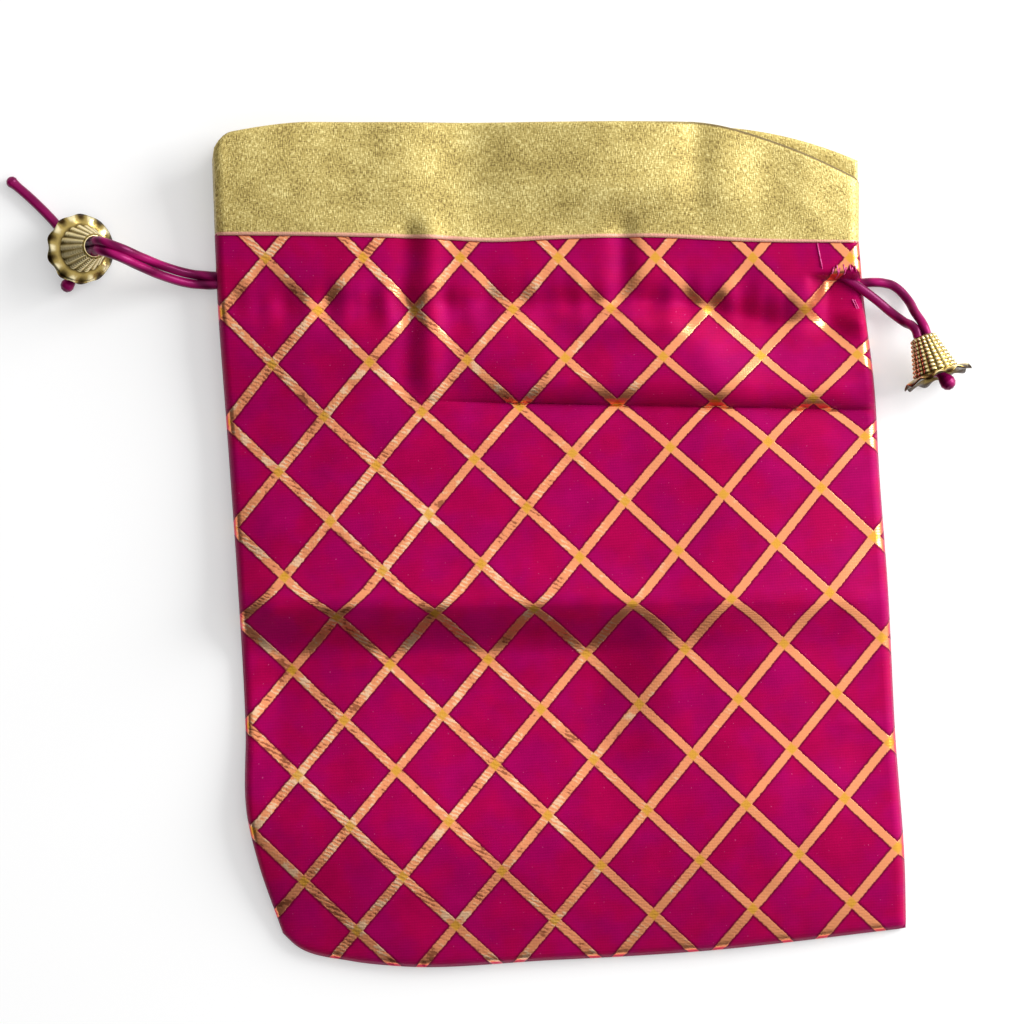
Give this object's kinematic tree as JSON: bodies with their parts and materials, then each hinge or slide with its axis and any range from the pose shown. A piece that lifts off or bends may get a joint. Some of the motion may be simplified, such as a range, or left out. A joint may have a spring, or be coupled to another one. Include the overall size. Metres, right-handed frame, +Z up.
{
  "type": "potli bag",
  "caption": "Flat drawstring pouch of magenta cloth with a gold foil lattice, a gold tissue band round its mouth, and satin cords that end in beaded bells.",
  "frame": {"origin": "on the floor under the middle of the bag as it lies on its back, cords and bells left out", "axes": "+X to the right side of the bag, +Y towards the mouth, +Z up from the floor"},
  "size_m": [0.2639, 0.231, 0.0212],
  "materials": {
    "foil_cloth": "magenta woven cloth with a printed gold foil diamond lattice",
    "gold_tissue": "gold metallic tissue",
    "satin_cord": "satin cord",
    "bell_metal": "antique gold-coloured metal"
  },
  "bodies": {
    "bag": {"front_panel": "foil_cloth", "back_panel": "foil_cloth", "front_band": "gold_tissue", "back_band": "gold_tissue", "left_drawstring": "satin_cord", "right_drawstring": "satin_cord", "left_knot": "satin_cord", "right_knot": "satin_cord"},
    "left_bell": {"left_bell": "bell_metal"},
    "right_bell": {"right_bell": "bell_metal"}
  },
  "joints": [
    {"name": "left_bell_turn", "type": "hinge", "parent": "bag", "child": "left_bell", "pos_m": [-0.1313, 0.081, 0.00402], "axis": [0.4226, 0, 0.9063], "continuous": true},
    {"name": "right_bell_turn", "type": "hinge", "parent": "bag", "child": "right_bell", "pos_m": [0.1033, 0.0449, 0.00952], "axis": [-0.3271, 0.9392, -0.1045], "continuous": true}
  ]
}
